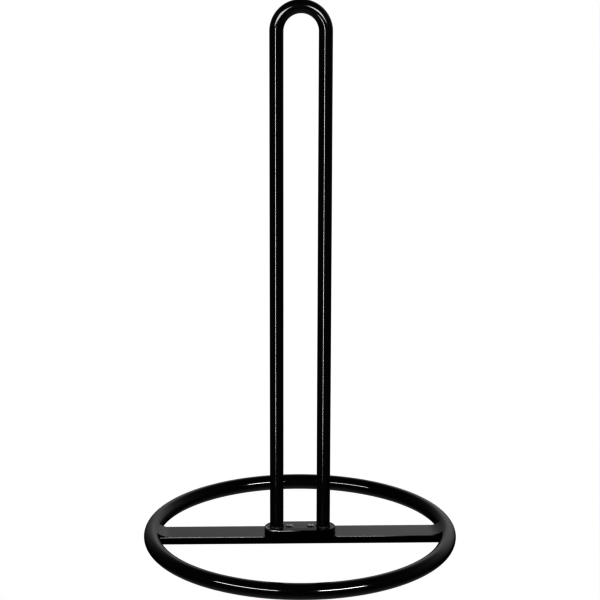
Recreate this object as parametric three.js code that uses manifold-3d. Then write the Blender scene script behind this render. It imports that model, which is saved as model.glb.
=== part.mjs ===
// Free-standing paper towel holder in black coated steel. Millimetres, +Z up.
//
// A round rod bent to a circle lies on the counter. A flat bar crosses the circle and is welded to
// it. An oval plate is held on the bar by two countersunk screws, and a hairpin loop of rod, welded
// to the plate, stands up to carry the roll. The origin is the centre of the ring, on the counter,
// and the bar runs along X.
import * as THREE from 'three';
import { mergeVertices } from 'three/addons/utils/BufferGeometryUtils.js';
import Module from 'manifold-3d';

const wasm = await Module();
wasm.setup();

// Base: ring and cross bar
const RING_OUTER_RADIUS = 95.25;
const RING_ROD_RADIUS = 4.75;
const BAR_WIDTH = 18.5;
const BAR_THICKNESS = 4.4;
const BAR_CLEARANCE = 1.1; // from the counter to the underside of the bar

// Upright: plate and hairpin loop
const HOLDER_HEIGHT = 329.4; // from the counter to the top of the bend
const LOOP_ROD_RADIUS = 4;
const LEG_SPACING = 28.4; // between the centres of the legs
const PLATE_LENGTH = 43.3;
const PLATE_WIDTH = 15.8;
const PLATE_THICKNESS = 3.5;
const EDGE_EASE = 0.6; // rounding of the edges of the bar and the plate

// Two M3 x 8 raised countersunk screws with a cross recess
const SCREW_SPACING = 13;
const SCREW_LENGTH = 8; // from the top of the plate to the tip
const SCREW_RADIUS = 1.5;
const SCREW_TIP_CHAMFER = 0.4;
const HEAD_RADIUS = 2.8;
const HEAD_CROWN = 0.8; // height of the domed top over the plate
const RECESS_DEPTH = 1.6;
const RECESS_TOP_SPAN = 3.2;
const RECESS_FLOOR_SPAN = 1;
const RECESS_SLOT = 0.6;
const RECESS_TURN = Math.PI / 4; // the cross stands like an X over the bar

// Fillet welds. The faces are hollow, and their control points are shares of the weld's size.
const LEG_WELD_SIZE = 0.8; // up the leg and out over the plate alike
const LEG_WELD_OUT = 0.5;
const LEG_WELD_UP = 0.45;
const BAR_WELD_REACH = 2.6; // how far the bead runs in over the bar from the ring
const BAR_WELD_CLIMB = Math.PI * 0.26; // how far it climbs round the ring's rod
const BAR_WELD_IN = 0.36;
const BAR_WELD_UP = 0.4;

// Facets round each turned or bent piece
const RING_SEGMENTS = 96;
const ROD_SIDES = 24;
const BEND_STEPS = 24;
const SCREW_SIDES = 24;
const CURVE_STEPS = 8;
const EASE_STEPS = 3;

const PIECE_GAP = 0.3; // left where a piece is cut to fit its neighbour
const CUT_PAST = 1; // how far a cutting tool runs past the face that it opens

const RING_CENTRELINE = RING_OUTER_RADIUS - RING_ROD_RADIUS;
const RING_INNER_RADIUS = RING_CENTRELINE - RING_ROD_RADIUS;
const BAR_TOP = BAR_CLEARANCE + BAR_THICKNESS;
const PLATE_TOP = BAR_TOP + PLATE_THICKNESS;
const BEND_RADIUS = LEG_SPACING / 2;
const LEG_LENGTH = HOLDER_HEIGHT - LOOP_ROD_RADIUS - BEND_RADIUS - PLATE_TOP;

const blackCoat = () => new THREE.MeshStandardMaterial({ color: 0x0a0a0b, roughness: 0.22, metalness: 0.1 });
const blackZinc = () => new THREE.MeshStandardMaterial({ color: 0x131314, roughness: 0.32, metalness: 0.9 });

// A closed geometry as a manifold-3d solid, and back again.
function toSolid(geometry) {
  const bare = geometry.clone();
  bare.deleteAttribute('normal');
  bare.deleteAttribute('uv');
  const merged = mergeVertices(bare);
  return new wasm.Manifold(new wasm.Mesh({
    numProp: 3,
    vertProperties: new Float32Array(merged.attributes.position.array),
    triVerts: new Uint32Array(merged.index.array),
  }));
}

function toGeometry(solid) {
  const mesh = solid.getMesh();
  const geometry = new THREE.BufferGeometry();
  geometry.setAttribute('position', new THREE.BufferAttribute(mesh.vertProperties, 3));
  geometry.setIndex(new THREE.BufferAttribute(mesh.triVerts, 1));
  geometry.computeVertexNormals();
  return geometry;
}

// A profile of (radius, height) points turned round +Z. Solid profiles run from the axis at the
// bottom to the axis at the top, and closed ones run anticlockwise and end where they start.
function turned(profile, segments) {
  return new THREE.LatheGeometry(profile, segments).rotateX(Math.PI / 2);
}

// A flat outline made a slab from z = 0 up, with its top and bottom edges eased.
function easedSlab(outline, thickness) {
  const slab = new THREE.ExtrudeGeometry(outline, {
    depth: thickness - 2 * EDGE_EASE,
    bevelThickness: EDGE_EASE,
    bevelSize: EDGE_EASE,
    bevelOffset: -EDGE_EASE,
    bevelSegments: EASE_STEPS,
    curveSegments: CURVE_STEPS,
  });
  return slab.translate(0, 0, EDGE_EASE);
}

// The rod's section has flats all round, one of them resting on the counter.
function ringGeometry() {
  const cornerRadius = RING_ROD_RADIUS / Math.cos(Math.PI / ROD_SIDES);
  const section = [];
  for (let i = 0; i <= ROD_SIDES; i += 1) {
    const angle = (2 * Math.PI * (i + 0.5)) / ROD_SIDES;
    section.push(new THREE.Vector2(
      RING_CENTRELINE + cornerRadius * Math.cos(angle),
      RING_ROD_RADIUS + cornerRadius * Math.sin(angle),
    ));
  }
  section[ROD_SIDES].copy(section[0]);
  return turned(section, RING_SEGMENTS);
}

// The bar's ends are cut to the curve of the ring, so that they meet its inner side.
function barGeometry() {
  const endRadius = RING_INNER_RADIUS - PIECE_GAP;
  const halfAngle = Math.asin(BAR_WIDTH / 2 / endRadius);
  const outline = new THREE.Shape();
  outline.absarc(0, 0, endRadius, -halfAngle, halfAngle, false);
  outline.absarc(0, 0, endRadius, Math.PI - halfAngle, Math.PI + halfAngle, false);
  let bar = toSolid(easedSlab(outline, BAR_THICKNESS));
  for (const side of [-1, 1]) {
    const tapping = new THREE.CylinderGeometry(
      SCREW_RADIUS + PIECE_GAP, SCREW_RADIUS + PIECE_GAP, BAR_THICKNESS + 2 * CUT_PAST, SCREW_SIDES,
    );
    tapping.rotateX(Math.PI / 2).translate((side * SCREW_SPACING) / 2, 0, BAR_THICKNESS / 2);
    bar = bar.subtract(toSolid(tapping));
  }
  return toGeometry(bar);
}

// A stadium: straight sides and full half-round ends, with a countersunk hole for each screw.
function plateGeometry() {
  const endRadius = PLATE_WIDTH / 2;
  const endCentre = PLATE_LENGTH / 2 - endRadius;
  const outline = new THREE.Shape();
  outline.absarc(endCentre, 0, endRadius, -Math.PI / 2, Math.PI / 2, false);
  outline.absarc(-endCentre, 0, endRadius, Math.PI / 2, (3 * Math.PI) / 2, false);
  let plate = toSolid(easedSlab(outline, PLATE_THICKNESS));
  for (const side of [-1, 1]) {
    plate = plate.subtract(toSolid(
      countersink().translate((side * SCREW_SPACING) / 2, 0, PLATE_THICKNESS),
    ));
  }
  return toGeometry(plate);
}

// The tool that opens a screw's hole, with z = 0 on the top of the plate.
function countersink() {
  const holeRadius = SCREW_RADIUS + PIECE_GAP;
  const mouthRadius = HEAD_RADIUS + PIECE_GAP;
  const coneDepth = mouthRadius - holeRadius;
  return turned([
    new THREE.Vector2(0, -PLATE_THICKNESS - CUT_PAST),
    new THREE.Vector2(holeRadius, -PLATE_THICKNESS - CUT_PAST),
    new THREE.Vector2(holeRadius, -coneDepth),
    new THREE.Vector2(mouthRadius, 0),
    new THREE.Vector2(mouthRadius, CUT_PAST),
    new THREE.Vector2(0, CUT_PAST),
  ], SCREW_SIDES);
}

// Up one leg, round the half circle and down the other, with one step on each straight leg and
// the other steps on the bend. The feet of the legs are at z = 0.
class HairpinPath extends THREE.Curve {
  getPoint(t) {
    const step = t * (BEND_STEPS + 2) - 1;
    if (step <= 0) {
      return new THREE.Vector3(-BEND_RADIUS, 0, (1 + step) * LEG_LENGTH);
    }
    if (step >= BEND_STEPS) {
      return new THREE.Vector3(BEND_RADIUS, 0, (1 - (step - BEND_STEPS)) * LEG_LENGTH);
    }
    const angle = Math.PI * (1 - step / BEND_STEPS);
    return new THREE.Vector3(BEND_RADIUS * Math.cos(angle), 0, LEG_LENGTH + BEND_RADIUS * Math.sin(angle));
  }

  getTangent(t) {
    const step = THREE.MathUtils.clamp(t * (BEND_STEPS + 2) - 1, 0, BEND_STEPS);
    const angle = Math.PI * (1 - step / BEND_STEPS);
    return new THREE.Vector3(Math.sin(angle), 0, -Math.cos(angle));
  }

  getPointAt(u) {
    return this.getPoint(u);
  }

  getTangentAt(u) {
    return this.getTangent(u);
  }
}

function loopGeometry() {
  const section = new THREE.Shape();
  section.absarc(0, 0, LOOP_ROD_RADIUS, 0, 2 * Math.PI, false);
  return new THREE.ExtrudeGeometry(section, {
    extrudePath: new HairpinPath(),
    steps: BEND_STEPS + 2,
    curveSegments: ROD_SIDES / 2,
  });
}

// A fillet bead round a leg, with a slightly hollow face, standing on z = 0.
function legWeldGeometry() {
  const inner = LOOP_ROD_RADIUS + PIECE_GAP / 2;
  const outline = new THREE.Shape();
  outline.moveTo(inner, 0);
  outline.lineTo(LOOP_ROD_RADIUS + LEG_WELD_SIZE, 0);
  outline.quadraticCurveTo(
    LOOP_ROD_RADIUS + LEG_WELD_SIZE * LEG_WELD_OUT, LEG_WELD_SIZE * LEG_WELD_UP, inner, LEG_WELD_SIZE,
  );
  outline.closePath();
  return turned(outline.getPoints(CURVE_STEPS / 2), ROD_SIDES);
}

// Round the inner side of the ring at the height of the bar's top, across the bar's width.
class BarEndPath extends THREE.Curve {
  constructor(side) {
    super();
    this.middle = side > 0 ? 0 : Math.PI;
    this.halfAngle = Math.asin((BAR_WIDTH / 2 - EDGE_EASE) / RING_INNER_RADIUS);
  }

  getPoint(t) {
    const angle = this.middle + this.halfAngle * (2 * t - 1);
    return new THREE.Vector3(
      RING_INNER_RADIUS * Math.cos(angle), RING_INNER_RADIUS * Math.sin(angle), BAR_TOP,
    );
  }
}

// The dressed bead that fills the corner between the top of the bar and the ring. Along the path
// the section's x runs down and its y runs in towards the middle of the ring.
function barWeldGeometry(side) {
  const rodDown = BAR_TOP - RING_ROD_RADIUS;
  const clearRadius = RING_ROD_RADIUS + PIECE_GAP;
  const footAngle = Math.asin(rodDown / clearRadius);
  const section = new THREE.Shape();
  section.absarc(
    rodDown, -RING_ROD_RADIUS, clearRadius, Math.PI / 2 + footAngle, Math.PI / 2 + BAR_WELD_CLIMB, false,
  );
  section.quadraticCurveTo(-BAR_WELD_REACH * BAR_WELD_UP, BAR_WELD_REACH * BAR_WELD_IN, 0, BAR_WELD_REACH);
  return new THREE.ExtrudeGeometry(section, {
    extrudePath: new BarEndPath(side),
    steps: CURVE_STEPS,
    curveSegments: CURVE_STEPS,
  });
}

// A raised countersunk screw, with z = 0 on the top of the plate and its shank pointing down.
function screwGeometry() {
  const coneDepth = HEAD_RADIUS - SCREW_RADIUS;
  const crownRadius = (HEAD_RADIUS ** 2 + HEAD_CROWN ** 2) / (2 * HEAD_CROWN);
  const crownHalfAngle = Math.asin(HEAD_RADIUS / crownRadius);
  const profile = [
    new THREE.Vector2(0, -SCREW_LENGTH),
    new THREE.Vector2(SCREW_RADIUS - SCREW_TIP_CHAMFER, -SCREW_LENGTH),
    new THREE.Vector2(SCREW_RADIUS, -SCREW_LENGTH + SCREW_TIP_CHAMFER),
    new THREE.Vector2(SCREW_RADIUS, -coneDepth),
  ];
  const crownSteps = CURVE_STEPS / 2;
  for (let i = 0; i <= crownSteps; i += 1) {
    const angle = crownHalfAngle * (1 - i / crownSteps);
    profile.push(new THREE.Vector2(
      i === crownSteps ? 0 : crownRadius * Math.sin(angle),
      HEAD_CROWN - crownRadius * (1 - Math.cos(angle)),
    ));
  }
  let screw = toSolid(turned(profile, SCREW_SIDES));
  for (const quarter of [0, 1]) {
    screw = screw.subtract(toSolid(recessBlade().rotateZ(RECESS_TURN + (quarter * Math.PI) / 2)));
  }
  return toGeometry(screw);
}

// One wing pair of the cross recess: a thin tapered blade, deepest on the screw's axis.
function recessBlade() {
  const top = HEAD_CROWN + CUT_PAST;
  const floor = HEAD_CROWN - RECESS_DEPTH;
  const slope = (RECESS_TOP_SPAN - RECESS_FLOOR_SPAN) / 2 / RECESS_DEPTH;
  const topHalf = RECESS_TOP_SPAN / 2 + slope * CUT_PAST;
  const outline = new THREE.Shape([
    new THREE.Vector2(-RECESS_FLOOR_SPAN / 2, floor),
    new THREE.Vector2(RECESS_FLOOR_SPAN / 2, floor),
    new THREE.Vector2(topHalf, top),
    new THREE.Vector2(-topHalf, top),
  ]);
  const blade = new THREE.ExtrudeGeometry(outline, { depth: RECESS_SLOT, bevelEnabled: false });
  return blade.translate(0, 0, -RECESS_SLOT / 2).rotateX(Math.PI / 2);
}

function piece(name, geometry, material) {
  const mesh = new THREE.Mesh(geometry, material);
  mesh.name = name;
  return mesh;
}

const SIDES = [['left', -1], ['right', 1]];

// Ring, bar and the two welds between them.
function baseFrame() {
  const group = new THREE.Group();
  const bar = piece('cross_bar', barGeometry(), blackCoat());
  bar.position.z = BAR_CLEARANCE;
  group.add(piece('base_ring', ringGeometry(), blackCoat()), bar);
  for (const [name, side] of SIDES) {
    group.add(piece(`bar_weld_${name}`, barWeldGeometry(side), blackCoat()));
  }
  return group;
}

// Plate, loop and the welds round its legs, standing on the bar.
function upright() {
  const group = new THREE.Group();
  group.position.z = BAR_TOP;
  const loop = piece('upright_loop', loopGeometry(), blackCoat());
  loop.position.z = PLATE_THICKNESS;
  group.add(piece('mounting_plate', plateGeometry(), blackCoat()), loop);
  for (const [name, side] of SIDES) {
    const weld = piece(`leg_weld_${name}`, legWeldGeometry(), blackCoat());
    weld.position.set(side * BEND_RADIUS, 0, PLATE_THICKNESS);
    group.add(weld);
  }
  return group;
}

// The two screws that hold the plate down on the bar.
function screws() {
  const group = new THREE.Group();
  group.position.z = PLATE_TOP;
  for (const [name, side] of SIDES) {
    const screw = piece(`plate_screw_${name}`, screwGeometry(), blackZinc());
    screw.position.x = (side * SCREW_SPACING) / 2;
    group.add(screw);
  }
  return group;
}

const holder = new THREE.Group();
holder.add(baseFrame(), upright(), screws());
export default holder;
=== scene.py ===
# %% [markdown]
# # A black paper towel holder, built round its frame
#
# The holder is a ring of round rod that lies on the counter, a flat bar across it, an oval plate
# screwed to the bar, a hairpin of rod that carries the roll, and the screws and weld beads that
# hold them together. All of it but the screws wears one coat of smooth gloss black. The frame
# gives the places and the main sizes, and this script adds what is finer, such as eased edges and
# ripples. Each faceted piece of the frame is stood for by a finely rounded one, because gloss
# black shows every facet as a broken reflection.

# %% Load the frame
import math

import bmesh
import bpy
from mathutils import Matrix, Vector


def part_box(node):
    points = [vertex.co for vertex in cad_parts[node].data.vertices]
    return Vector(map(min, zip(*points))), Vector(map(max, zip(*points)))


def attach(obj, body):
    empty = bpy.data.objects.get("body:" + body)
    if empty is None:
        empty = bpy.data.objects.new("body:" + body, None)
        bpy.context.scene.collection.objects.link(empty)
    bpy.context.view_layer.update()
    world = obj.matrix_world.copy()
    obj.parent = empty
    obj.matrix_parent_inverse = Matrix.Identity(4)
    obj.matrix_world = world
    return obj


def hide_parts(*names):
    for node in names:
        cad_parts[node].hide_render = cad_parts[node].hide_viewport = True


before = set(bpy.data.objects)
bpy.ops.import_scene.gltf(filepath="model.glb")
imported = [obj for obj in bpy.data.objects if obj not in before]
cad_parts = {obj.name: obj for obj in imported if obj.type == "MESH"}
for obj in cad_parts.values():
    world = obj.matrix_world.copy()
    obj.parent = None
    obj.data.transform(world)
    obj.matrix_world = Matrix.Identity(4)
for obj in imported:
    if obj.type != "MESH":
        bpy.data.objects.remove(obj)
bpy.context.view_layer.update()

MM = 0.001
print("nodes:", sorted(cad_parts))

# %% [markdown]
# ## Sizes from the frame
#
# Nothing is measured twice. The ring's rod is as thick as the ring's box is high, the hairpin's
# rod is as thick as its box is deep, and the rest follows in the same way.

# %% Read the sizes
ring_low, ring_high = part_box("base_ring")
ring_rod = (ring_high.z - ring_low.z) / 2
ring_centreline = ring_high.x - ring_rod

bar_low, bar_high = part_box("cross_bar")
plate_low, plate_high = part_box("mounting_plate")

loop_low, loop_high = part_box("upright_loop")
loop_rod = (loop_high.y - loop_low.y) / 2
bend_radius = loop_high.x - loop_rod
bend_centre = Vector((0, 0, loop_high.z - loop_rod - bend_radius))

print(f"ring: rod {2 * ring_rod / MM:.1f} mm, centreline radius {ring_centreline / MM:.2f} mm")
print(f"hairpin: rod {2 * loop_rod / MM:.1f} mm, bend radius {bend_radius / MM:.1f} mm")

# %% [markdown]
# ## The camera
#
# The holder is seen from the front, a little above, with a long lens, so the legs stay nearly
# parallel. The camera comes first, because every choice of light and gloss is judged from it.

# %% Place the camera
CAMERA_DISTANCE = 1088.9 * MM  # along the counter, from the middle of the ring
CAMERA_HEIGHT = 436.1 * MM
CAMERA_ROUND = -1.578  # degrees round from the front, towards the left
CAMERA_SIDESTEP = -0.3 * MM
CAMERA_DOWN = 14.622  # degrees below level
CAMERA_TILT = 0.137  # degrees about the line of sight
LENS = 113.73  # millimetres
SENSOR_WIDTH = 36  # millimetres
NEAREST_SEEN = 0.05
FARTHEST_SEEN = 50
PRINT_GAMMA = 0.5  # a hard print: the blacks close up, and thin rods keep their width on white

around = math.radians(CAMERA_ROUND)
camera_data = bpy.data.cameras.new("camera")
camera_data.lens = LENS
camera_data.sensor_width = SENSOR_WIDTH
camera_data.clip_start = NEAREST_SEEN
camera_data.clip_end = FARTHEST_SEEN
camera = bpy.data.objects.new("camera", camera_data)
camera.location = (
    math.sin(around) * CAMERA_DISTANCE + math.cos(around) * CAMERA_SIDESTEP,
    -math.cos(around) * CAMERA_DISTANCE + math.sin(around) * CAMERA_SIDESTEP,
    CAMERA_HEIGHT,
)
looking = Matrix.Rotation(around, 3, "Z") @ Matrix.Rotation(math.radians(90 - CAMERA_DOWN), 3, "X")
looking = looking @ Matrix.Rotation(math.radians(CAMERA_TILT), 3, "Z")
camera.rotation_euler = looking.to_euler()
bpy.context.scene.collection.objects.link(camera)
bpy.context.scene.camera = camera
view = bpy.context.scene.view_settings
view.view_transform = "Standard"
view.gamma = PRINT_GAMMA
print("camera at, mm:", [round(value / MM) for value in camera.location])

# %% [markdown]
# ## Helpers for the finishes
#
# Every finish is a node tree on the piece's own Object coordinates, so its grain keeps its real
# size wherever the piece lies. The first helper starts a material. Each of the others adds one
# node with its settings, joins it to what comes before, and hands back what comes out.

# %% Node helpers
def start_material(name):
    """A new material with its node tree, its main shader and its Object coordinates."""
    material = bpy.data.materials.new(name)
    material.use_nodes = True
    tree = material.node_tree
    shader = tree.nodes["Principled BSDF"]
    coordinates = tree.nodes.new("ShaderNodeTexCoord").outputs["Object"]
    return material, tree, shader, coordinates


def add_noise(tree, coordinates, grain, detail=2.0):
    """Cloudy noise whose patches are about grain metres across."""
    node = tree.nodes.new("ShaderNodeTexNoise")
    node.inputs["Scale"].default_value = 1 / grain
    node.inputs["Detail"].default_value = detail
    tree.links.new(coordinates, node.inputs["Vector"])
    return node.outputs["Fac"]


def add_range(tree, value, from_low, from_high, to_low, to_high):
    """Maps one range of values on to another, and clamps what lies outside."""
    node = tree.nodes.new("ShaderNodeMapRange")
    node.inputs["From Min"].default_value = from_low
    node.inputs["From Max"].default_value = from_high
    node.inputs["To Min"].default_value = to_low
    node.inputs["To Max"].default_value = to_high
    tree.links.new(value, node.inputs["Value"])
    return node.outputs["Result"]


def add_blend(tree, share, low_color, high_color):
    """Runs from one colour to another as share goes from 0 to 1."""
    node = tree.nodes.new("ShaderNodeValToRGB")
    node.color_ramp.elements[0].color = (*low_color, 1)
    node.color_ramp.elements[1].color = (*high_color, 1)
    tree.links.new(share, node.inputs["Fac"])
    return node.outputs["Color"]


def add_math(tree, operation, first, second=None):
    """One sum on values that come from textures or coordinates."""
    node = tree.nodes.new("ShaderNodeMath")
    node.operation = operation
    tree.links.new(first, node.inputs[0])
    if second is not None:
        tree.links.new(second, node.inputs[1])
    return node.outputs["Value"]


def add_mix(tree, share, low, high, kind="FLOAT"):
    """Runs from one value, or one colour, to another as share goes from 0 to 1."""
    node = tree.nodes.new("ShaderNodeMix")
    node.data_type = kind
    first, result = {"FLOAT": (2, 0), "RGBA": (6, 2)}[kind]
    tree.links.new(share, node.inputs["Factor"])
    tree.links.new(low, node.inputs[first])
    tree.links.new(high, node.inputs[first + 1])
    return node.outputs[result]


def add_bump(tree, height, depth, below=None):
    """A bump depth metres high, on top of the bump below it."""
    node = tree.nodes.new("ShaderNodeBump")
    node.inputs["Strength"].default_value = 1
    node.inputs["Distance"].default_value = depth
    tree.links.new(height, node.inputs["Height"])
    if below is not None:
        tree.links.new(below, node.inputs["Normal"])
    return node.outputs["Normal"]


# %% [markdown]
# ## Gloss black coat
#
# The steel wears a baked black coat. From arm's length it looks like black glass, but it is
# not one: it flowed as it baked, so it has long shallow waves (orange peel) a couple of
# millimetres across, a fine tooth under them, and here and there a speck of dust under the skin.
# The colour is almost nothing, so the finish is all in roughness and bump. On some edges a highlight
# is painted in as a lighter, rougher metal strip.

# %% Make the coat
COAT_CLOUD = 18 * MM  # patches of slightly different gloss
COAT_PEEL = 2.6 * MM
COAT_TOOTH = 0.25 * MM
COAT_SPECK = 7 * MM
PEEL_DEPTH = 0.002 * MM
TOOTH_DEPTH = 0.0002 * MM
SPECK_DEPTH = 0.01 * MM
SPECK_REACH = (0.02, 0.05)  # where a speck is full and where it ends, in shares of the spacing
NOISE_SPAN = (0.3, 0.7)  # most of a noise's values lie between these
COAT_ROUGHNESS = (0.08, 0.13)
COAT_COLORS = ((0.0030, 0.0030, 0.0034), (0.0068, 0.0066, 0.0070))
# The painted edge highlight: its roughness and its lighter metal tones.
PAINTED_HIGHLIGHT_ROUGHNESS = (0.42, 0.52)
PAINTED_HIGHLIGHT_TONES = (0.28, 0.50)


def black_coat(name, peel_depth=PEEL_DEPTH, painted_highlight_share=None, painted_highlight_tones=PAINTED_HIGHLIGHT_TONES):
    """The coat; the optional function of (tree, coordinates) gives 1 where a highlight is painted on
    an edge and 0 elsewhere.
    """
    material, tree, shader, coordinates = start_material(name)
    cloud = add_noise(tree, coordinates, COAT_CLOUD, 3)
    peel = add_noise(tree, coordinates, COAT_PEEL, 1)
    tooth = add_noise(tree, coordinates, COAT_TOOTH, 3)
    specks = tree.nodes.new("ShaderNodeTexVoronoi")
    specks.inputs["Scale"].default_value = 1 / COAT_SPECK
    tree.links.new(coordinates, specks.inputs["Vector"])
    speck = add_range(tree, specks.outputs["Distance"], *SPECK_REACH, 1, 0)

    normal = add_bump(tree, peel, peel_depth)
    normal = add_bump(tree, tooth, TOOTH_DEPTH, normal)
    normal = add_bump(tree, speck, SPECK_DEPTH, normal)
    tree.links.new(normal, shader.inputs["Normal"])
    roughness = add_range(tree, cloud, *NOISE_SPAN, *COAT_ROUGHNESS)
    color = add_blend(tree, cloud, *COAT_COLORS)
    # Painted highlight: lighter, rougher metal where the share is 1.
    if painted_highlight_share is not None:
        painted_highlight = painted_highlight_share(tree, coordinates)
        painted_highlight_roughness = add_range(tree, cloud, *NOISE_SPAN, *PAINTED_HIGHLIGHT_ROUGHNESS)
        roughness = add_mix(tree, painted_highlight, roughness, painted_highlight_roughness)
        painted_highlight_tone = add_blend(tree, cloud, *((tone, tone, tone) for tone in painted_highlight_tones))
        color = add_mix(tree, painted_highlight, color, painted_highlight_tone, "RGBA")
        tree.links.new(painted_highlight, shader.inputs["Metallic"])
    tree.links.new(roughness, shader.inputs["Roughness"])
    tree.links.new(color, shader.inputs["Base Color"])
    shader.inputs["IOR"].default_value = 1.5
    print("finish:", name)
    return material


def painted_highlight_where(*limits):
    """Where a highlight is painted on an edge, for black_coat: each limit is an axis, 0 at one place,
    1 at another.
    """
    def share(tree, coordinates):
        split = tree.nodes.new("ShaderNodeSeparateXYZ")
        tree.links.new(coordinates, split.inputs["Vector"])
        result = None
        for axis, none_at, all_at in limits:
            value = split.outputs[axis.lstrip("|")]
            if axis.startswith("|"):
                value = add_math(tree, "ABSOLUTE", value)
            step = add_range(tree, value, none_at, all_at, 0, 1)
            result = step if result is None else add_math(tree, "MULTIPLY", result, step)
        return result
    return share


# %% [markdown]
# ## Which piece wears which coat
#
# The ring, the hairpin and the end beads have the plain coat, and it lies thicker and more waved over
# the foot beads. The bar has a painted highlight, a lighter metal strip, along its front top edge on
# both sides of the plate, to the end on the left and short of the end on the right. The plate has one
# on the left part of its front rim.

# %% Mix the coats
BAR_EASE = 0.5 * MM
BAR_PAINTED_HIGHLIGHT_REACH = (1.0 * MM, 0.7 * MM)  # from the front face: no painted highlight at the first, full at the second
BAR_PAINTED_HIGHLIGHT_END = (66 * MM, 48 * MM)  # where the painted highlight on the bar is gone, and where it is full
PLATE_EASE = 0.75 * MM
PLATE_CROWN = 0.22 * MM
PLATE_PAINTED_HIGHLIGHT_END = (1 * MM, -9 * MM)  # where the painted highlight on the plate is gone, and where it is full
# The plate's painted highlight is lighter than the bar's.
PLATE_PAINTED_HIGHLIGHT_TONES = (0.6, 0.8)
PAINTED_HIGHLIGHT_FADE = 1 * MM
EASE_PAINTED_HIGHLIGHT = (0.8, 0.5)  # depths below the top, in eases: no painted highlight at the first, full at the second
RIM_STEP = 0.04 * MM  # the crown has left the rim, and its painted highlight, by this height
BEAD_PEEL_DEPTH = 0.02 * MM

plate_rim_top = plate_high.z - PLATE_CROWN


def upper_ease(top, ease):
    """The limit that keeps the painted highlight to the upper part of an eased edge."""
    return ("Z", *(top - share * ease for share in EASE_PAINTED_HIGHLIGHT))


coat = black_coat("black_coat")
bead_coat = black_coat("black_coat_over_weld", peel_depth=BEAD_PEEL_DEPTH)
# The bar's front top edge gets a painted highlight, a lighter metal strip.
bar_coat = black_coat("black_coat_painted_highlight_on_bar", painted_highlight_share=painted_highlight_where(
    ("Y", *(-bar_high.y + reach for reach in BAR_PAINTED_HIGHLIGHT_REACH)),
    upper_ease(bar_high.z, BAR_EASE),
    ("X", *BAR_PAINTED_HIGHLIGHT_END),
    ("|X", plate_high.x, plate_high.x + PAINTED_HIGHLIGHT_FADE),
))
# The left part of the plate's front rim gets a painted highlight, a lighter metal strip.
plate_coat = black_coat("black_coat_painted_highlight_on_plate", painted_highlight_share=painted_highlight_where(
    upper_ease(plate_rim_top, PLATE_EASE),
    ("Z", plate_rim_top + RIM_STEP, plate_rim_top),
    ("Y", 0, -PAINTED_HIGHLIGHT_FADE),
    ("X", *PLATE_PAINTED_HIGHLIGHT_END),
), painted_highlight_tones=PLATE_PAINTED_HIGHLIGHT_TONES)

# %% [markdown]
# ## Black screws
#
# The screws are not painted. They are plated and blackened, a thin dark metal skin with the
# fine rings of the turning still in the crown. The driver has rubbed the cross and the crown
# close round it back to bright metal, and only the outer crown keeps its darker skin.

# %% Make the screw finish
TURNING_RINGS = 1.2 * MM
TURNING_DEPTH = 0.0015 * MM
TURNING_WOBBLE = 1.5
STAIN = 0.9 * MM
STAIN_DEPTH = 0.002 * MM
SCREW_ROUGHNESS = (0.16, 0.28)
SCREW_METAL = 0.85
SCREW_COLORS = ((0.14, 0.14, 0.145), (0.26, 0.26, 0.265))
RUBBED_COLORS = ((0.4, 0.4, 0.4), (0.62, 0.62, 0.62))
RUBBED_REACH = (1.3 * MM, 1.7 * MM)  # from the screw's axis: full at the first, gone at the second


def black_screw(name, centre):
    """The finish of the screw whose axis is at centre."""
    material, tree, shader, coordinates = start_material(name)
    placed = tree.nodes.new("ShaderNodeMapping")
    placed.inputs["Location"].default_value = (-centre.x, -centre.y, 0)
    tree.links.new(coordinates, placed.inputs["Vector"])
    rings = tree.nodes.new("ShaderNodeTexWave")
    rings.wave_type = "RINGS"
    rings.rings_direction = "Z"
    rings.inputs["Scale"].default_value = 1 / TURNING_RINGS
    rings.inputs["Distortion"].default_value = TURNING_WOBBLE
    rings.inputs["Detail"].default_value = 2
    tree.links.new(placed.outputs["Vector"], rings.inputs["Vector"])
    level = tree.nodes.new("ShaderNodeVectorMath")
    level.operation = "MULTIPLY"
    level.inputs[1].default_value = (1, 1, 0)
    tree.links.new(placed.outputs["Vector"], level.inputs[0])
    stain = add_noise(tree, coordinates, STAIN, 3)

    normal = add_bump(tree, rings.outputs["Fac"], TURNING_DEPTH)
    normal = add_bump(tree, stain, STAIN_DEPTH, normal)
    tree.links.new(normal, shader.inputs["Normal"])
    roughness = add_range(tree, stain, *NOISE_SPAN, *SCREW_ROUGHNESS)
    tree.links.new(roughness, shader.inputs["Roughness"])
    color = add_blend(tree, stain, *SCREW_COLORS)
    far = tree.nodes.new("ShaderNodeVectorMath")
    far.operation = "LENGTH"
    tree.links.new(level.outputs["Vector"], far.inputs[0])
    rubbed = add_range(tree, far.outputs["Value"], *RUBBED_REACH, 1, 0)
    bright = add_blend(tree, stain, *RUBBED_COLORS)
    color = add_mix(tree, rubbed, color, bright, "RGBA")
    tree.links.new(color, shader.inputs["Base Color"])
    shader.inputs["Metallic"].default_value = SCREW_METAL
    print("finish:", name)
    return material


# %% [markdown]
# ## Helpers for the pieces
#
# Each piece is made in a bmesh, already in its place, and then turned into an object that rides
# on the holder's one body and stands for its node of the frame. Faces are smooth. Where a flat
# meets a rounded edge, a Weighted Normal modifier keeps the flat's reflection flat.

# %% Mesh helpers
MERGE = 0.0005 * MM  # vertices closer than this are one
NEAR = 0.01 * MM  # places closer than this count as level with each other


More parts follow.
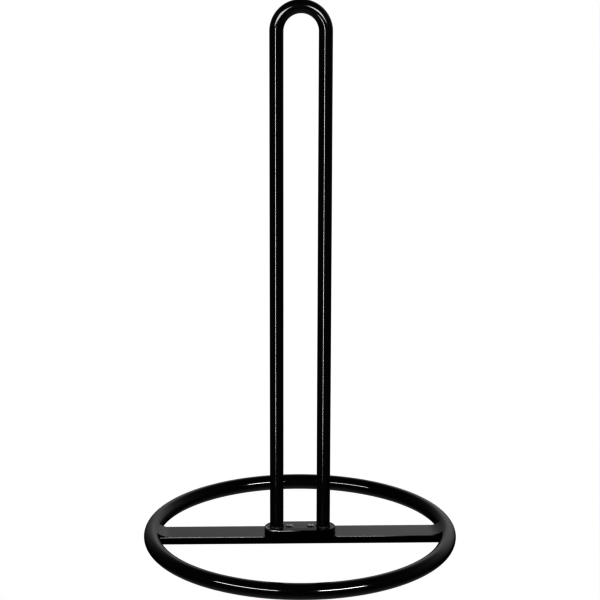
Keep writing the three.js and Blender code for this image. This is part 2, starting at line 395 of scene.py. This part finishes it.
def keep_piece(name, bm, material, node):
    """Turns a bmesh into a finished piece that stands for a node of the frame."""
    bmesh.ops.remove_doubles(bm, verts=bm.verts, dist=MERGE)
    bmesh.ops.recalc_face_normals(bm, faces=bm.faces)
    mesh = bpy.data.meshes.new(name)
    bm.to_mesh(mesh)
    bm.free()
    mesh.materials.append(material)
    for face in mesh.polygons:
        face.use_smooth = True
    piece = bpy.data.objects.new(name, mesh)
    bpy.context.scene.collection.objects.link(piece)
    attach(piece, "root")
    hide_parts(node)
    print(f"{name}: {len(mesh.polygons)} faces, stands for {node}")
    return piece


def flat_shading(piece):
    """Lets the large faces of a piece set the normals of the vertices that they share."""
    weighted = piece.modifiers.new("flat_faces", "WEIGHTED_NORMAL")
    weighted.keep_sharp = True


def sharpen(piece, degrees):
    """Keeps every edge sharp where the faces turn by more than so many degrees."""
    piece.data.set_sharp_from_angle(angle=math.radians(degrees))


def cut_away(bm, cutters):
    """The shape in bm less every cutter, as a new bmesh. Cutters are bmeshes too."""
    holders = []
    for number, shape in enumerate([bm, *cutters]):
        bmesh.ops.recalc_face_normals(shape, faces=shape.faces)
        mesh = bpy.data.meshes.new("blank" if number == 0 else "cutter")
        shape.to_mesh(mesh)
        shape.free()
        holder = bpy.data.objects.new(mesh.name, mesh)
        bpy.context.scene.collection.objects.link(holder)
        holders.append(holder)
    for cutter in holders[1:]:
        cut = holders[0].modifiers.new("cut", "BOOLEAN")
        cut.operation = "DIFFERENCE"
        cut.solver = "EXACT"
        cut.object = cutter
    graph = bpy.context.evaluated_depsgraph_get()
    result = bmesh.new()
    result.from_mesh(holders[0].evaluated_get(graph).to_mesh())
    for holder in holders:
        bpy.data.meshes.remove(holder.data)
    return result


def spun(points, centre, steps):
    """A profile of (radius, height) points turned once round a vertical axis at centre."""
    bm = bmesh.new()
    corners = [bm.verts.new((centre.x + radius, centre.y, height)) for radius, height in points]
    for low, high in zip(corners, corners[1:]):
        bm.edges.new((low, high))
    bmesh.ops.spin(
        bm, geom=bm.verts[:] + bm.edges[:], cent=(centre.x, centre.y, 0), axis=(0, 0, 1),
        dvec=(0, 0, 0), angle=math.tau, steps=steps, use_merge=True,
    )
    bmesh.ops.remove_doubles(bm, verts=bm.verts, dist=MERGE)
    return bm


# %% [markdown]
# ## The ring
#
# A length of round rod is rolled to a circle and its ends are welded shut. A circle of vertices
# spun once round the middle gives the same shape, with loops close enough that the long
# highlights run round it without a step.

# %% Bend the ring
ROD_SIDES = 48
RING_STEPS = 288

bm = bmesh.new()
bmesh.ops.create_circle(
    bm, segments=ROD_SIDES, radius=ring_rod,
    matrix=Matrix.Translation((ring_centreline, 0, ring_rod)) @ Matrix.Rotation(math.pi / 2, 4, "X"),
)
bmesh.ops.spin(
    bm, geom=bm.verts[:] + bm.edges[:], cent=(0, 0, 0), axis=(0, 0, 1), dvec=(0, 0, 0),
    angle=math.tau, steps=RING_STEPS, use_merge=True,
)
keep_piece("ring_of_rod", bm, coat, "base_ring")

# %% [markdown]
# ## The flat bar
#
# The bar is plain flat stock with its long corners eased. Its ends are coped: each is cut to
# the hollow that fits over the side of the ring's rod. A grid is extruded into a block, every
# vertex of its two ends is slid along the bar until it lies on the rod, and then the four long
# edges are bevelled. Two holes take the screws from above and go right through.

# %% Cut the bar
BAR_GRID = (24, 10)  # cells across the bar's width and through its thickness
EASE_STEPS = 6
DRILL_SIDES = 64

bar_half_width = bar_high.y
bar_middle = (bar_low.z + bar_high.z) / 2


def cope_reach(y, z):
    """How far from the middle of the bar the side of the ring's rod lies, at a place on its end."""
    rod_side = ring_centreline - math.sqrt(ring_rod**2 - (z - ring_rod) ** 2)
    return math.sqrt(rod_side**2 - y**2)


def round_cutter(centre, radius, low, high):
    """A plain drill, from low to high."""
    return spun([(0, low), (radius, low), (radius, high), (0, high)], centre, DRILL_SIDES)


bm = bmesh.new()
bmesh.ops.create_grid(bm, x_segments=BAR_GRID[1], y_segments=BAR_GRID[0], size=0.5)
bmesh.ops.rotate(bm, verts=bm.verts, cent=(0, 0, 0), matrix=Matrix.Rotation(math.pi / 2, 3, "Y"))
bmesh.ops.scale(bm, verts=bm.verts, vec=(1, 2 * bar_half_width, bar_high.z - bar_low.z))
bmesh.ops.translate(bm, verts=bm.verts, vec=(-ring_centreline, 0, bar_middle))
grown = bmesh.ops.extrude_face_region(bm, geom=bm.faces[:])["geom"]
far_end = [item for item in grown if isinstance(item, bmesh.types.BMVert)]
bmesh.ops.translate(bm, verts=far_end, vec=(2 * ring_centreline, 0, 0))
for vertex in bm.verts:
    vertex.co.x = math.copysign(cope_reach(vertex.co.y, vertex.co.z), vertex.co.x)
long_corners = [
    edge for edge in bm.edges
    if edge.calc_length() > ring_centreline
    and all(abs(vertex.co.y) > bar_half_width - NEAR for vertex in edge.verts)
    and all(abs(vertex.co.z - bar_middle) > bar_high.z - bar_middle - NEAR for vertex in edge.verts)
]
bmesh.ops.bevel(
    bm, geom=long_corners, offset=BAR_EASE, offset_type="OFFSET", affect="EDGES",
    segments=EASE_STEPS, profile=0.5, material=-1,
)
print("long corners eased:", len(long_corners))

# %% Drill the bar
SCREW_NODES = ("plate_screw_left", "plate_screw_right")
SCREW_SHANK = 1.5 * MM  # its radius
THREAD_GAP = 0.08 * MM
PAST = 1 * MM  # how far a drill runs past the face that it opens

screw_boxes = [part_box(node) for node in SCREW_NODES]
screw_centres = [(low + high) / 2 for low, high in screw_boxes]
screw_head = (screw_boxes[0][1].x - screw_boxes[0][0].x) / 2
screw_crown = screw_boxes[0][1].z - plate_high.z

drills = [
    round_cutter(centre, SCREW_SHANK + THREAD_GAP, bar_low.z - PAST, bar_high.z + PAST)
    for centre in screw_centres
]
bar = keep_piece("flat_bar", cut_away(bm, drills), bar_coat, "cross_bar")
flat_shading(bar)

# %% [markdown]
# ## The oval plate
#
# The plate is a slug with straight sides and full round ends. A rectangle whose four corners
# are bevelled by half its width is exactly that outline. It is extruded to its thickness, its
# rims are eased, and its top is raised by a hair towards the middle, so that its reflection fades
# from the back edge to the front one. The screw holes are countersunk.

# %% Shape the plate
CROWN_STEPS = 7
END_STEPS = 40

plate_half_width = plate_high.y
plate_size = plate_high - plate_low

bm = bmesh.new()
bmesh.ops.create_grid(bm, x_segments=1, y_segments=1, size=0.5)
bmesh.ops.scale(bm, verts=bm.verts, vec=(plate_size.x, plate_size.y, 1))
bmesh.ops.bevel(
    bm, geom=bm.verts[:], offset=plate_half_width, offset_type="OFFSET", affect="VERTICES",
    segments=END_STEPS, profile=0.5, material=-1,
)
bmesh.ops.remove_doubles(bm, verts=bm.verts, dist=NEAR)
bmesh.ops.translate(bm, verts=bm.verts, vec=(0, 0, plate_low.z))
grown = bmesh.ops.extrude_face_region(bm, geom=bm.faces[:])["geom"]
top_rim = [item for item in grown if isinstance(item, bmesh.types.BMVert)]
bmesh.ops.translate(bm, verts=top_rim, vec=(0, 0, plate_size.z))
rims = [edge for edge in bm.edges if abs(edge.verts[0].co.z - edge.verts[1].co.z) < NEAR]
bmesh.ops.bevel(
    bm, geom=rims, offset=PLATE_EASE, offset_type="OFFSET", affect="EDGES",
    segments=EASE_STEPS, profile=0.5, material=-1,
)
bmesh.ops.recalc_face_normals(bm, faces=bm.faces)
print("plate before its crown:", len(bm.faces), "faces")

# %% Crown and countersink the plate
HEAD_GAP = 0.06 * MM
TURNED_SIDES = 96  # round the countersinks and the screws

flat_width = plate_half_width - PLATE_EASE
top = max(bm.faces, key=lambda face: face.calc_center_median().z)
bmesh.ops.translate(bm, verts=top.verts[:], vec=(0, 0, -PLATE_CROWN))
for step in range(CROWN_STEPS):
    bmesh.ops.inset_region(
        bm, faces=[top], thickness=flat_width / (CROWN_STEPS + 1), use_even_offset=True,
    )
    across = (step + 1) / (CROWN_STEPS + 1)
    rise = PLATE_CROWN * (1 - (1 - across) ** 2)
    for vertex in top.verts:
        vertex.co.z = plate_rim_top + rise
print("plate crowned:", len(bm.faces), "faces")

sinks = []
for centre in screw_centres:
    hole = SCREW_SHANK + HEAD_GAP
    mouth = screw_head + HEAD_GAP
    sinks.append(spun([
        (0, plate_low.z - PAST),
        (hole, plate_low.z - PAST),
        (hole, plate_high.z - (mouth - hole)),
        (mouth, plate_high.z),
        (mouth, plate_high.z + PAST),
        (0, plate_high.z + PAST),
    ], centre, TURNED_SIDES))
plate = keep_piece("oval_plate", cut_away(bm, sinks), plate_coat, "mounting_plate")
flat_shading(plate)

# %% [markdown]
# ## The hairpin
#
# One rod goes up, turns over and comes down again. A circle at the left foot is extruded up the
# leg, spun over the half turn and extruded down to the right foot, so that the whole piece is
# one continuous skin, as the rod is.

# %% Bend the hairpin
BEND_STEPS = 72
LEG_STEPS = 12
FOOT_SHARP = 60  # degrees, so that only the cut ends of the rod stay sharp

leg_length = bend_centre.z - loop_low.z


def sweep(bm, edges, move):
    """Extrudes a loop of edges along move and returns the loop at the far end."""
    grown = bmesh.ops.extrude_edge_only(bm, edges=edges)["geom"]
    verts = [item for item in grown if isinstance(item, bmesh.types.BMVert)]
    bmesh.ops.translate(bm, verts=verts, vec=move)
    return [item for item in grown if isinstance(item, bmesh.types.BMEdge) and item.is_boundary]


bm = bmesh.new()
bmesh.ops.create_circle(
    bm, segments=ROD_SIDES, radius=loop_rod, matrix=Matrix.Translation((-bend_radius, 0, loop_low.z)),
)
rim = bm.edges[:]
for _ in range(LEG_STEPS):
    rim = sweep(bm, rim, (0, 0, leg_length / LEG_STEPS))
turned = bmesh.ops.spin(
    bm, geom=rim, cent=bend_centre, axis=(0, 1, 0), dvec=(0, 0, 0), angle=math.pi,
    steps=BEND_STEPS, use_merge=False,
)["geom_last"]
rim = [item for item in turned if isinstance(item, bmesh.types.BMEdge)]
for _ in range(LEG_STEPS):
    rim = sweep(bm, rim, (0, 0, -leg_length / LEG_STEPS))
bmesh.ops.holes_fill(bm, edges=[edge for edge in bm.edges if edge.is_boundary], sides=0)
hairpin = keep_piece("hairpin_rod", bm, coat, "upright_loop")
sharpen(hairpin, FOOT_SHARP)

# %% [markdown]
# ## Weld beads at the feet
#
# Each leg is welded all round to the plate. A fillet bead is laid as a row of overlapping
# drops, so its face is rippled, and the coat rounds the ripples off. A hollow fillet is spun
# round the leg, and then every vertex of its face is pushed out by the ripple it lies on. The
# bead is slimmer than the frame's, so that the rim of the plate shows in front of it.

# %% Lay the foot beads
FOOT_RIPPLES = 19
RIPPLE_PUSH = 0.2 * MM
BEAD_STEPS = 168
BEAD_SINK = 0.1 * MM  # the bead bites this far into the metal that it joins
FOOT_SHARE = 0.62  # of the size of the frame's bead
FOOT_HOLLOW = 0.35  # where the hollow's control point lies, in shares of the bead
FOOT_CURVE_STEPS = 10
RIPPLE_LEAN = 0.9  # how far a ripple turns from the bottom of the bead to its top, in radians
RIPPLE_START = 0.25  # puts the highest part of a ripple nearer to the leg


def hollow(start, control, end, steps):
    """Points along a smooth hollow curve from start to end."""
    points = []
    for number in range(steps + 1):
        t = number / steps
        points.append(tuple(
            (1 - t) ** 2 * a + 2 * t * (1 - t) * b + t**2 * c for a, b, c in zip(start, control, end)
        ))
    return points


def foot_bead(name, node):
    """The rippled bead that stands for node."""
    low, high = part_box(node)
    centre = (low + high) / 2
    bead = FOOT_SHARE * ((high.x - low.x) / 2 - loop_rod)
    inner = loop_rod - BEAD_SINK
    toe = (loop_rod + bead - RIPPLE_PUSH, low.z)
    tip = (loop_rod, low.z + bead)
    control = (loop_rod + FOOT_HOLLOW * bead, low.z + FOOT_HOLLOW * bead)
    curve = hollow(toe, control, tip, FOOT_CURVE_STEPS)
    section = [(toe[0], low.z - BEAD_SINK), *curve, (inner, tip[1]), (inner, low.z - BEAD_SINK)]
    bm = spun([*section, section[0]], centre, BEAD_STEPS)
    for vertex in bm.verts:
        out = Vector((vertex.co.x - centre.x, vertex.co.y - centre.y, 0))
        share = min(max((out.length - loop_rod) / bead, 0), 1)
        lean = (vertex.co.z - low.z) / bead
        angle = math.atan2(out.y, out.x)
        wave = abs(math.sin(FOOT_RIPPLES * angle / 2 + RIPPLE_LEAN * lean))
        push = RIPPLE_PUSH * wave * math.sin(math.pi * min(1, RIPPLE_START + share))
        vertex.co += out.normalized() * push + Vector((0, 0, push * (share > 0)))
    return keep_piece(name, bm, bead_coat, node)


foot_bead("foot_bead_left", "leg_weld_left")
foot_bead("foot_bead_right", "leg_weld_right")

# %% [markdown]
# ## Weld beads at the bar's ends
#
# These beads are dressed: ground back and filled until the top of the bar runs into the side of
# the ring without a line. The section is a hollow curve that leaves the bar level and lands on
# the rod at a tangent, swept along the end of the bar.

# %% Lay the end beads
END_BEAD_STEPS = 24
END_CURVE_STEPS = 20
BEAD_CLIMB = math.radians(50)  # how far round the rod the bead goes, above level
HEEL_REACH = 0.9  # how far inside the rod the bead's buried corner lies, in shares of its radius
END_SHARP = 50  # degrees


def end_bead(name, node, side):
    """The dressed bead that stands for node, on the left where side is -1 and the right where 1."""
    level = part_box(node)[0].z
    tip = (
        ring_centreline - ring_rod * math.cos(BEAD_CLIMB),
        ring_rod + ring_rod * math.sin(BEAD_CLIMB),
    )
    control = (tip[0] - (tip[1] - level) * math.tan(BEAD_CLIMB), level)
    start_x = control[0] - math.hypot(tip[0] - control[0], tip[1] - level)
    curve = hollow((start_x, level), control, tip, END_CURVE_STEPS)
    heel = (ring_centreline - ring_rod * HEEL_REACH, level - BEAD_SINK)
    section = [(start_x, level - BEAD_SINK), *curve, (tip[0] + BEAD_SINK, tip[1]), heel]
    half_angle = math.asin((bar_half_width - BAR_EASE) / ring_centreline)
    middle = 0 if side > 0 else math.pi
    bm = bmesh.new()
    first = middle - half_angle
    corners = [
        bm.verts.new((radius * math.cos(first), radius * math.sin(first), height))
        for radius, height in section
    ]
    bm.faces.new(corners)
    bmesh.ops.spin(
        bm, geom=bm.faces[:], cent=(0, 0, 0), axis=(0, 0, 1), dvec=(0, 0, 0),
        angle=2 * half_angle, steps=END_BEAD_STEPS, use_merge=False,
    )
    piece = keep_piece(name, bm, coat, node)
    sharpen(piece, END_SHARP)
    return piece


end_bead("end_bead_left", "bar_weld_left", -1)
end_bead("end_bead_right", "bar_weld_right", 1)

# %% [markdown]
# ## The two screws
#
# Each is a small machine screw with a raised countersunk head: a cone that seats in the plate
# and a low dome over it. The body is spun from one profile, and two tapered blades cut the cross
# recess into the dome.

# %% Turn and slot the screws
DOME_STEPS = 10
TIP_CHAMFER = 0.4 * MM
RECESS_DEPTH = 1.5 * MM
RECESS_TOP = 3.3 * MM
RECESS_FLOOR = 0.2 * MM
RECESS_SLOT = 0.72 * MM
RECESS_TAPER = 0.75  # how wide the slot's floor is, in shares of its top
HEAD_LAND = 0.1 * MM  # the upright rim between the cone and the dome
HEAD_SHARP = 30  # degrees
SCREW_TURNS = (48, 41)  # degrees that each cross stands round from the bar


def recess_blade(centre, crown_top, turn):
    """One tapered blade of the tool that cuts the cross."""
    bm = bmesh.new()
    bmesh.ops.create_cube(bm, size=1)
    bmesh.ops.scale(bm, verts=bm.verts, vec=(RECESS_TOP, RECESS_SLOT, 2 * RECESS_DEPTH))
    floor = [vertex for vertex in bm.verts if vertex.co.z < 0]
    bmesh.ops.scale(bm, verts=floor, vec=(RECESS_FLOOR / RECESS_TOP, RECESS_TAPER, 1))
    bmesh.ops.rotate(bm, verts=bm.verts, cent=(0, 0, 0), matrix=Matrix.Rotation(turn, 3, "Z"))
    bmesh.ops.translate(bm, verts=bm.verts, vec=(centre.x, centre.y, crown_top))
    return bm


def screw(name, node, centre, turn):
    """The screw that stands for node, with its cross turned round from the bar."""
    low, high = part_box(node)
    head_top = plate_high.z
    dome_radius = (screw_head**2 + screw_crown**2) / (2 * screw_crown)
    half_angle = math.asin(screw_head / dome_radius)
    profile = [
        (0, low.z),
        (SCREW_SHANK - TIP_CHAMFER, low.z),
        (SCREW_SHANK, low.z + TIP_CHAMFER),
        (SCREW_SHANK, head_top - (screw_head - SCREW_SHANK)),
        (screw_head, head_top - HEAD_LAND),
    ]
    for number in range(DOME_STEPS + 1):
        angle = half_angle * (1 - number / DOME_STEPS)
        profile.append((
            dome_radius * math.sin(angle),
            head_top + screw_crown - dome_radius * (1 - math.cos(angle)),
        ))
    body = spun(profile, centre, TURNED_SIDES)
    blades = [recess_blade(centre, high.z, turn + quarter * math.pi / 2) for quarter in (0, 1)]
    finish = black_screw("blackened_" + name, centre)
    piece = keep_piece(name, cut_away(body, blades), finish, node)
    sharpen(piece, HEAD_SHARP)
    return piece


for node, centre, degrees in zip(SCREW_NODES, screw_centres, SCREW_TURNS):
    screw(node.replace("plate_", "cross_"), node, centre, math.radians(degrees))

# %% [markdown]
# ## Floor and light
#
# The holder stands on a plain white floor that glows just white, takes no shade and throws no shadow.
# Gloss black is lit by what it mirrors. A dim glow behind the holder and to its right lies in every
# level top. Two wide, low soft boxes stand one on each side of the camera, about level with it, and
# draw the ring's thin lines. A tall narrow one, most of it below the floor, draws the line down each
# leg, two more the bright curves on the bend, and a high one the painted edge highlights on the bar
# and the plate. Light linking keeps each box to the pieces that it is meant for.

# %% Lay the floor
FLOOR_SIZE = 40.0
FLOOR_MOTTLE = 0.4
FLOOR_COLORS = ((0.010, 0.010, 0.010), (0.014, 0.014, 0.014))

bm = bmesh.new()
bmesh.ops.create_grid(bm, x_segments=4, y_segments=4, size=FLOOR_SIZE / 2)
floor_mesh = bpy.data.meshes.new("floor")
bm.to_mesh(floor_mesh)
bm.free()
floor = bpy.data.objects.new("floor", floor_mesh)
bpy.context.scene.collection.objects.link(floor)
floor.visible_glossy = False
floor.visible_shadow = False

floor_material, tree, shader, coordinates = start_material("white_floor")
mottle = add_noise(tree, coordinates, FLOOR_MOTTLE, 2)
floor_color = add_blend(tree, mottle, *FLOOR_COLORS)
tree.links.new(floor_color, shader.inputs["Base Color"])
shader.inputs["Roughness"].default_value = 1
shader.inputs["Specular IOR Level"].default_value = 0
shader.inputs["Emission Color"].default_value = (1, 1, 1, 1)
shader.inputs["Emission Strength"].default_value = 1
floor_mesh.materials.append(floor_material)
print("floor:", FLOOR_SIZE, "m across")

# %% Light helpers
def toward(degrees):
    """A level direction so many degrees round from the camera's side, positive to the right."""
    angle = math.radians(degrees) + around
    return Vector((math.sin(angle), -math.cos(angle), 0))


def add_stops(tree, value, stops):
    """A smooth curve through (value, brightness) stops, for values from -1 to 1."""
    ramp = tree.nodes.new("ShaderNodeValToRGB")
    ramp.color_ramp.interpolation = "EASE"
    spread = add_range(tree, value, -1, 1, 0, 1)
    tree.links.new(spread, ramp.inputs["Fac"])
    elements = ramp.color_ramp.elements
    elements[0].position, elements[1].position = ((stops[0][0] + 1) / 2, (stops[-1][0] + 1) / 2)
    for element, (_, level) in zip((elements[0], elements[1]), (stops[0], stops[-1])):
        element.color = (level, level, level, 1)
    for place, level in stops[1:-1]:
        elements.new((place + 1) / 2).color = (level, level, level, 1)
    return ramp.outputs["Color"]


def add_colors(tree, kind, first, second):
    """Multiplies or adds two colours."""
    node = tree.nodes.new("ShaderNodeMix")
    node.data_type = "RGBA"
    node.blend_type = kind
    node.inputs["Factor"].default_value = 1
    tree.links.new(first, node.inputs[6])
    tree.links.new(second, node.inputs[7])
    return node.outputs[2]


def soft_box(name, from_degrees, to_degrees, distance, low_z, high_z, brightness, pieces):
    """A flat soft light between two bearings and two heights, which lights only some pieces."""
    half = math.radians(to_degrees - from_degrees) / 2
    data = bpy.data.lights.new(name, "AREA")
    data.shape = "RECTANGLE"
    data.size = 2 * distance * math.tan(half)
    data.size_y = high_z - low_z
    data.energy = brightness * math.pi * data.size * data.size_y
    light = bpy.data.objects.new(name, data)
    bearing = toward((from_degrees + to_degrees) / 2)
    light.location = bearing * distance + Vector((0, 0, (low_z + high_z) / 2))
    light.rotation_euler = (-bearing).to_track_quat("-Z", "Y").to_euler()
    light.visible_camera = False
    bpy.context.scene.collection.objects.link(light)
    lit = bpy.data.collections.new(name + "_lights")
    for piece in pieces:
        lit.objects.link(bpy.data.objects[piece])
    light.light_linking.receiver_collection = lit
    print(f"{name}: {data.size:.2f} x {data.size_y:.2f} m, on {', '.join(pieces)}")


# %% [markdown]
# ## The glow
#
# The pieces are lit by the glow and mirror it, while the camera sees plain white behind them. It
# is brightest a third of the way up behind the holder, falls off round it and over it, and a
# dimmer one lies underneath. Each stop pairs a direction, from -1 to 1, with a share of the
# glow's brightness.

# %% Set the glow
GLOW = 2.0
GLOW_BEARING = 160  # degrees round from the camera's side
GLOW_BY_HEIGHT = (
    (-0.25, 0.0), (-0.12, 0.28), (0.04, 0.45), (0.2, 0.68), (0.36, 0.92), (0.48, 1.0), (0.62, 0.7),
    (0.75, 0.32), (1.0, 0.1),
)
GLOW_BY_BEARING = (
    (-1.0, 0.02), (-0.3, 0.03), (0.0, 0.07), (0.3, 0.14), (0.6, 0.34), (0.76, 0.58), (0.92, 0.92),
    (1.0, 1.0),
)
FLOOR_GLOW = ((-1.0, 0.5), (-0.7, 0.28), (-0.45, 0.0), (1.0, 0.0))

world = bpy.data.worlds.new("studio")
bpy.context.scene.world = world
world.use_nodes = True
tree = world.node_tree
background = tree.nodes["Background"]
direction = tree.nodes.new("ShaderNodeTexCoord").outputs["Generated"]
split = tree.nodes.new("ShaderNodeSeparateXYZ")
tree.links.new(direction, split.inputs["Vector"])
bearing = tree.nodes.new("ShaderNodeVectorMath")
bearing.operation = "DOT_PRODUCT"
tree.links.new(direction, bearing.inputs[0])
bearing.inputs[1].default_value = toward(GLOW_BEARING)

by_height = add_stops(tree, split.outputs["Z"], GLOW_BY_HEIGHT)
by_bearing = add_stops(tree, bearing.outputs["Value"], GLOW_BY_BEARING)
glow = add_colors(tree, "MULTIPLY", by_height, by_bearing)
glow = add_colors(tree, "ADD", glow, add_stops(tree, split.outputs["Z"], FLOOR_GLOW))
seen = tree.nodes.new("ShaderNodeLightPath").outputs["Is Camera Ray"]
mirrored = tree.nodes.new("ShaderNodeBackground")
mirrored.inputs["Strength"].default_value = GLOW
tree.links.new(glow, mirrored.inputs["Color"])
background.inputs["Color"].default_value = (1, 1, 1, 1)
choose = tree.nodes.new("ShaderNodeMixShader")
tree.links.new(seen, choose.inputs["Fac"])
tree.links.new(mirrored.outputs["Background"], choose.inputs[1])
tree.links.new(background.outputs["Background"], choose.inputs[2])
tree.links.new(choose.outputs["Shader"], tree.nodes["World Output"].inputs["Surface"])
print("glow:", GLOW, "at", GLOW_BEARING, "degrees round")

# %% [markdown]
# ## The soft boxes
#
# Each line gives a box's two bearings in degrees from the camera's side, its distance, its lowest
# and highest points in metres, its brightness, and the pieces that it lights.

# %% Hang the soft boxes
RODS = ("ring_of_rod", "end_bead_left", "end_bead_right")
SCREWS = ("cross_screw_left", "cross_screw_right")
FEET = ("foot_bead_left", "foot_bead_right")
UPRIGHT = ("hairpin_rod", *FEET)
FLATS = ("flat_bar", "oval_plate")

soft_box("left_strip", -19.0, -12.2, 3.0, -0.98, 0.15, 38, UPRIGHT)
soft_box("left_bend_box", -40, -9, 1.5, 0.36, 1.05, 20, UPRIGHT)
soft_box("right_bend_box", 9, 34, 1.5, 0.38, 1.0, 20, UPRIGHT)
soft_box("left_soft_box", -62, -15, 1.0, 0.36, 0.58, 26, RODS + SCREWS + FEET)
soft_box("right_soft_box", 13, 47, 1.0, 0.37, 0.58, 42, RODS + SCREWS + FEET)
soft_box("high_box", -75, -3, 1.0, 1.7, 2.7, 28, FLATS + FEET)
